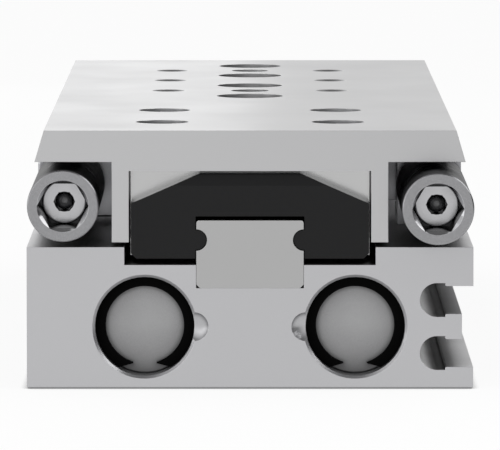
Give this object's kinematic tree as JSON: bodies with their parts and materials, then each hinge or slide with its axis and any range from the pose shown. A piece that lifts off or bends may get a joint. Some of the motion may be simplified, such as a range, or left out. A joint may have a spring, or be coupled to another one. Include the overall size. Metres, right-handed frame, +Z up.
{
  "type": "pneumatic mini slide",
  "caption": "Pneumatic mini slide: grooved aluminium housing with twin cylinders, ball rail guided slide plate, front yoke and adjustable end stops.",
  "frame": {"origin": "centre of the housing's underside", "axes": "+X right, +Y the way the slide advances, +Z up from the mounting face"},
  "size_m": [0.075, 0.2196, 0.0435],
  "materials": {
    "housing_aluminium": "satin anodised",
    "slide_aluminium": "satin anodised",
    "rail_steel": "ground",
    "screw_steel": "zinc plated",
    "stop_steel": "nickel plated",
    "ring_steel": "phosphated black",
    "ball_steel": "polished",
    "rod_steel": "hard chromed",
    "black_plastic": "moulded",
    "magnet_plastic": "moulded",
    "piston_aluminium": "turned",
    "bearing_brass": "turned",
    "seal_rubber": "moulded"
  },
  "bodies": {
    "housing": {"housing": "housing_aluminium", "guide_rail": "rail_steel", "rail_screws": "screw_steel", "stop_holder_right": "stop_steel", "holder_screws_right": "screw_steel", "lock_nut_right": "stop_steel", "fixed_stop_left": "stop_steel", "fixed_stop_screws_left": "screw_steel", "end_cap_left": "housing_aluminium", "end_cap_seal_left": "seal_rubber", "rear_retaining_ring_left": "ring_steel", "front_retaining_ring_left": "ring_steel", "rod_bearing_left": "bearing_brass", "rod_seal_left": "seal_rubber", "end_cap_right": "housing_aluminium", "end_cap_seal_right": "seal_rubber", "rear_retaining_ring_right": "ring_steel", "front_retaining_ring_right": "ring_steel", "rod_bearing_right": "bearing_brass", "rod_seal_right": "seal_rubber"},
    "slide": {"slide": "slide_aluminium", "yoke_plate": "slide_aluminium", "yoke_screws": "screw_steel", "rod_screws": "screw_steel", "yoke_dowels": "screw_steel", "carriage_block": "rail_steel", "carriage_screws": "screw_steel", "carriage_end_cap_rear": "black_plastic", "carriage_end_cap_front": "black_plastic", "stop_carrier_left": "stop_steel", "carrier_screws_left": "screw_steel", "lock_nut_left": "stop_steel", "slide_stop_right": "stop_steel", "slide_stop_screws_right": "screw_steel", "piston_left": "piston_aluminium", "piston_seals_left": "seal_rubber", "piston_magnet_left": "magnet_plastic", "piston_rod_left": "rod_steel", "carriage_balls_left": "ball_steel", "piston_right": "piston_aluminium", "piston_seals_right": "seal_rubber", "piston_magnet_right": "magnet_plastic", "piston_rod_right": "rod_steel", "carriage_balls_right": "ball_steel"},
    "left_adjuster": {"buffer_left": "seal_rubber"},
    "left_sleeve": {"stop_sleeve_left": "stop_steel", "cushion_insert_left": "stop_steel"},
    "right_adjuster": {"buffer_right": "seal_rubber"},
    "right_sleeve": {"stop_sleeve_right": "stop_steel", "cushion_insert_right": "stop_steel"}
  },
  "joints": [
    {"name": "slide_travel", "type": "slide", "parent": "housing", "child": "slide", "axis": [0, 1, 0], "range_m": [0, 0.1]},
    {"name": "left_stop_shift", "type": "slide", "parent": "slide", "child": "left_adjuster", "axis": [0, -1, 0], "range_m": [0, 0.005]},
    {"name": "left_stop_turn", "type": "hinge", "parent": "left_adjuster", "child": "left_sleeve", "pos_m": [-0.03135, -0.099, 0.031], "axis": [0, -1, 0], "range_deg": [-1801, 1]},
    {"name": "right_stop_shift", "type": "slide", "parent": "housing", "child": "right_adjuster", "axis": [0, -1, 0], "range_m": [0, 0.005]},
    {"name": "right_stop_turn", "type": "hinge", "parent": "right_adjuster", "child": "right_sleeve", "pos_m": [0.03135, -0.099, 0.031], "axis": [0, -1, 0], "range_deg": [-1801, 1]}
  ],
  "couplings": [
    {"joint": "left_stop_turn", "follows": "left_stop_shift", "rad_per_m": -6283.2},
    {"joint": "right_stop_turn", "follows": "right_stop_shift", "rad_per_m": -6283.2}
  ]
}
